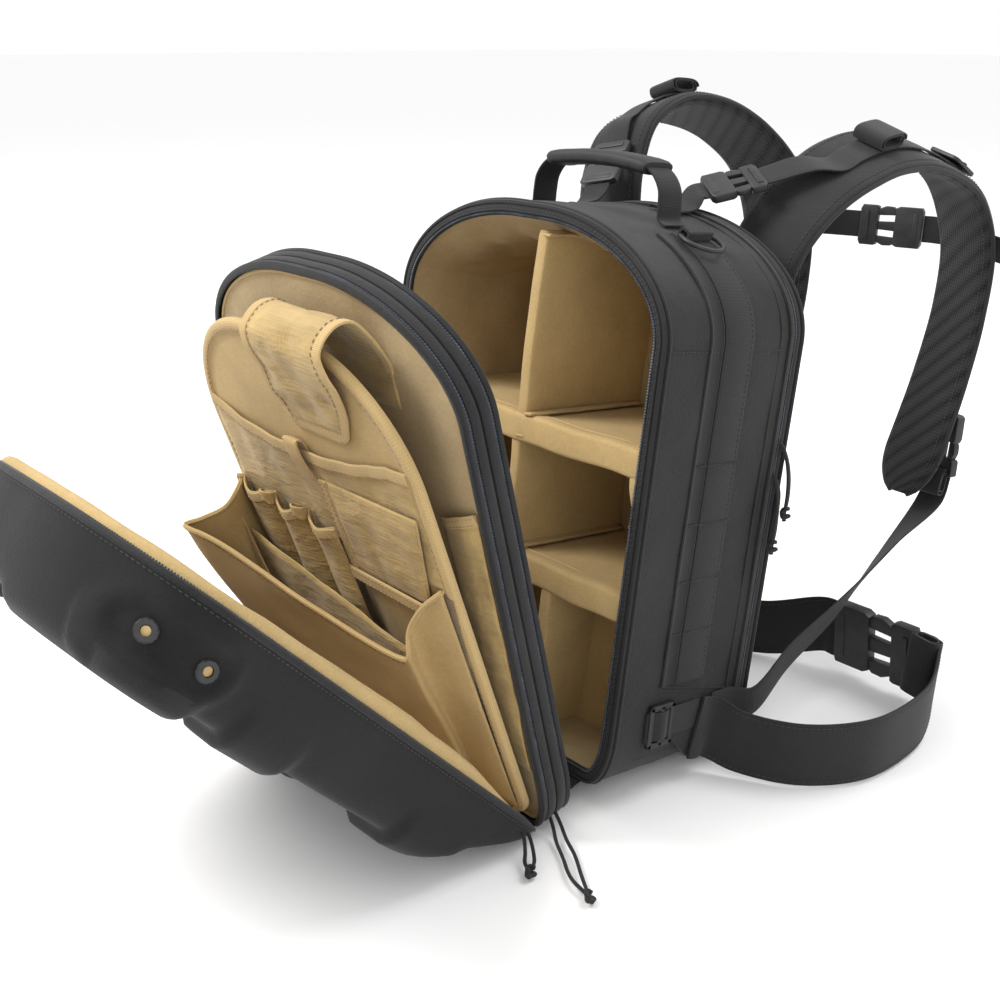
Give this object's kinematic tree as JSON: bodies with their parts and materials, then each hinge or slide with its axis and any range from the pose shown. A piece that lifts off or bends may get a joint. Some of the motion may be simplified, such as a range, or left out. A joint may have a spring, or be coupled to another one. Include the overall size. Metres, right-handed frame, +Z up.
{
  "type": "camera backpack",
  "caption": "Camera backpack standing open: divided padded body, middle flap, organiser board with pockets, hard front shell, shoulder harness and waist belt.",
  "frame": {"origin": "on the ground, below the middle of the box round the pack as it stands open", "axes": "+Z up, +Y from the opened shell towards the harness, +X to the right side of the pack, which is the side turned to the viewer when the opening faces left"},
  "size_m": [0.3982, 0.8928, 0.5217],
  "materials": {
    "nylon": "black woven nylon with a fine ribbed grain",
    "webbing": "black webbing",
    "plastic": "satin black moulded plastic",
    "felt": "black fabric bonded to a moulded shell",
    "mesh": "black spacer mesh",
    "tan": "tan brushed loop lining",
    "ripstop": "tan ripstop with a slight sheen",
    "cord": "black braided cord"
  },
  "bodies": {
    "root": {"body_shell": "nylon", "body_zip_band": "nylon", "rear_zip_band": "nylon", "flap_hinge": "nylon", "flap_band": "nylon", "shell_zip_band": "nylon", "shell_hinge": "nylon", "side_webbing_right": "webbing", "side_webbing_left": "webbing", "ring_loop_right": "webbing", "ring_loop_left": "webbing", "strap_webbing_right": "webbing", "strap_webbing_left": "webbing", "lifter_anchor_right": "webbing", "lifter_anchor_left": "webbing", "sternum_webbing_right": "webbing", "sternum_webbing_left": "webbing", "lower_webbing_right": "webbing", "lower_webbing_left": "webbing", "waist_belt_right": "webbing", "waist_belt_left": "webbing", "handle_webbing": "webbing", "d_ring_right": "plastic", "d_ring_left": "plastic", "side_slider_right": "plastic", "side_slider_left": "plastic", "lifter_buckle_right": "plastic", "lifter_buckle_left": "plastic", "lower_buckle_right": "plastic", "lower_buckle_left": "plastic", "handle_grip": "plastic", "sternum_buckle": "plastic", "belt_buckle": "plastic", "eyelet_right_lower": "plastic", "eyelet_right_upper": "plastic", "eyelet_left_lower": "plastic", "eyelet_left_upper": "plastic", "hard_shell": "felt", "back_panel": "mesh", "shoulder_strap_right": "mesh", "shoulder_strap_left": "mesh", "body_lining": "tan", "upper_shelf": "tan", "lower_shelf": "tan", "upper_divider": "tan", "middle_divider": "tan", "lower_divider": "tan", "flap_panel": "tan", "organiser_board": "tan", "shell_lining": "tan", "flap_pocket": "ripstop", "closure_flap": "ripstop", "top_pocket": "ripstop", "pen_pocket": "ripstop", "zip_pocket": "ripstop", "bellows_pocket": "ripstop", "pull_front_flap": "cord", "pull_front_shell": "cord", "pull_rear_upper": "cord", "pull_rear_lower": "cord"}
  },
  "joints": []
}
